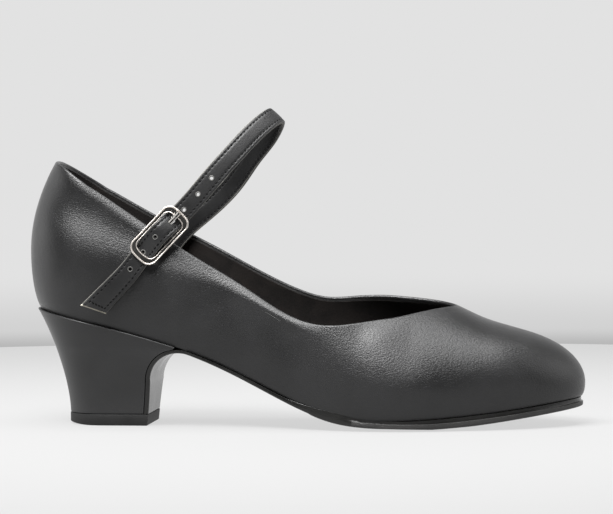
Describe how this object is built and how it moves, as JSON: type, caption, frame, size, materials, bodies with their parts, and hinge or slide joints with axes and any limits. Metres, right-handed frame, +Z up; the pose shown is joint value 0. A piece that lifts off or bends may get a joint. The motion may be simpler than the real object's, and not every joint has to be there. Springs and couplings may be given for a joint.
{
  "type": "dance shoe",
  "caption": "Right-foot dance shoe with a closed leather upper, a covered block heel, a thin stepped sole and a buckled strap over the instep.",
  "frame": {"origin": "on the floor, under the middle of the shoe's box", "axes": "+X towards the toe, +Y towards the inner side of the foot, +Z up"},
  "size_m": [0.247, 0.084, 0.1403],
  "materials": {
    "upper_leather": "satin, fine grain",
    "sock": "matte, napped",
    "sole_leather": "polished edge, napped tread",
    "heel_cover": "satin",
    "lift_rubber": "matte",
    "strap_leather": "satin, stitched",
    "nickel": "polished",
    "tab_leather": "matte"
  },
  "bodies": {
    "root": {"upper": "upper_leather", "insole": "sock", "outsole": "sole_leather", "heel": "heel_cover", "heel_top_lift": "lift_rubber", "strap": "strap_leather", "buckle_frame": "nickel", "buckle_prong": "nickel", "buckle_tab": "tab_leather"}
  },
  "joints": []
}
